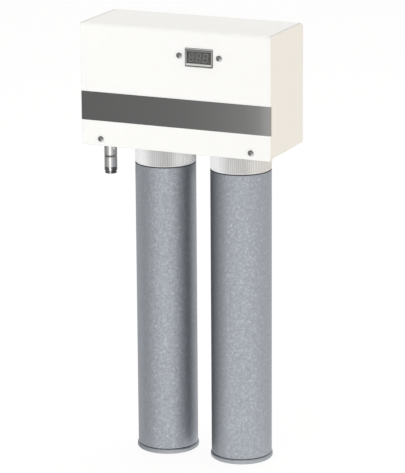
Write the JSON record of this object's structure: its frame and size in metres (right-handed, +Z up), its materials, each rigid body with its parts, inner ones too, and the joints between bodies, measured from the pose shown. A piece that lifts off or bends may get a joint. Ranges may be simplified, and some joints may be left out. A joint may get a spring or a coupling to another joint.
{
  "type": "air dryer",
  "caption": "Wall-mounted desiccant air dryer: folded white case with a small display and a dark stripe above upright aluminium adsorption columns, with push-in air ports below.",
  "frame": {"origin": "centre of the four wall holes, on the wall's plane", "axes": "+Z up along the columns, +Y into the wall, +X to the right as one faces the front, which faces -Y"},
  "size_m": [0.2672, 0.1105, 0.5789],
  "materials": {
    "cover": "satin powder coat, white",
    "stripe": "dark grey film",
    "bezel": "grey moulding",
    "window": "smoked clear window",
    "module": "dark display face",
    "board": "circuit board",
    "nickel": "nickel plated",
    "screws": "zinc plated",
    "chassis": "satin powder coat, white",
    "manifold": "machined, clear anodised",
    "brass": "machined",
    "head": "ribbed, clear anodised",
    "tube": "drawn tube, clear anodised",
    "base": "turned, clear anodised",
    "riser": "drawn",
    "strainer": "sintered",
    "pad": "felt",
    "bed": "packed beads",
    "coil": "moulded over the winding",
    "steel": "turned",
    "sinter": "sintered",
    "rubber": "nitrile",
    "shuttle": "white moulding",
    "chrome": "nickel plated brass",
    "black": "glossy black",
    "gland": "black moulding"
  },
  "bodies": {
    "dryer": {"armature_tube_left": "steel", "armature_tube_right": "steel", "base_cap_left": "base", "base_cap_right": "base", "base_screws": "screws", "bed_pad_left": "pad", "bed_pad_right": "pad", "cable_gland_body": "gland", "cable_gland_nut": "gland", "chassis": "chassis", "clinch_nuts": "screws", "coil_nuts": "screws", "column_head_left": "head", "column_head_right": "head", "column_seals": "rubber", "column_tube_left": "tube", "column_tube_right": "tube", "cover": "cover", "cover_screws": "screws", "desiccant_bed_left": "bed", "desiccant_bed_right": "bed", "display_bezel": "bezel", "display_board": "board", "display_module": "module", "display_nuts": "screws", "display_screws": "screws", "display_seal": "rubber", "display_spacers": "nickel", "display_window": "window", "fitting_seals": "rubber", "front_stripe": "stripe", "gallery_plugs": "brass", "gland_locknut": "gland", "inlet_adapter": "chrome", "inlet_fitting": "chrome", "inlet_fitting_cap": "black", "lower_strainer_left": "strainer", "lower_strainer_right": "strainer", "manifold": "manifold", "manifold_screws": "screws", "outlet_adapter": "chrome", "outlet_fitting": "chrome", "outlet_fitting_cap": "black", "plunger_spring_left": "steel", "plunger_spring_right": "steel", "riser_tube_left": "riser", "riser_tube_right": "riser", "shuttle_seats": "brass", "silencer_left": "sinter", "silencer_right": "sinter", "solenoid_coil_left": "coil", "solenoid_coil_right": "coil", "upper_strainer_left": "strainer", "upper_strainer_right": "strainer"},
    "plunger_left": {"plunger_left": "steel"},
    "plunger_right": {"plunger_right": "steel"},
    "inlet_shuttle": {"inlet_shuttle": "shuttle"},
    "outlet_shuttle": {"outlet_shuttle": "shuttle"},
    "inlet_collet": {"inlet_collet": "black"},
    "outlet_collet": {"outlet_collet": "black"}
  },
  "joints": [
    {"name": "plunger_left_lift", "type": "slide", "parent": "dryer", "child": "plunger_left", "axis": [0, 0, 1], "range_m": [0, 0.0015], "stiffness_N_per_m": 800, "springref_m": -0.004, "deforming": ["plunger_spring_left"]},
    {"name": "plunger_right_lift", "type": "slide", "parent": "dryer", "child": "plunger_right", "axis": [0, 0, 1], "range_m": [0, 0.0015], "stiffness_N_per_m": 800, "springref_m": -0.004, "deforming": ["plunger_spring_right"]},
    {"name": "inlet_shuttle_shift", "type": "slide", "parent": "dryer", "child": "inlet_shuttle", "axis": [1, 0, 0], "range_m": [0, 0.003]},
    {"name": "outlet_shuttle_shift", "type": "slide", "parent": "dryer", "child": "outlet_shuttle", "axis": [1, 0, 0], "range_m": [0, 0.003]},
    {"name": "inlet_collet_press", "type": "slide", "parent": "dryer", "child": "inlet_collet", "axis": [0, 0, 1], "range_m": [0, 0.0014], "stiffness_N_per_m": 300, "springref_m": -0.002},
    {"name": "outlet_collet_press", "type": "slide", "parent": "dryer", "child": "outlet_collet", "axis": [0, 0, 1], "range_m": [0, 0.0014], "stiffness_N_per_m": 300, "springref_m": -0.002}
  ]
}
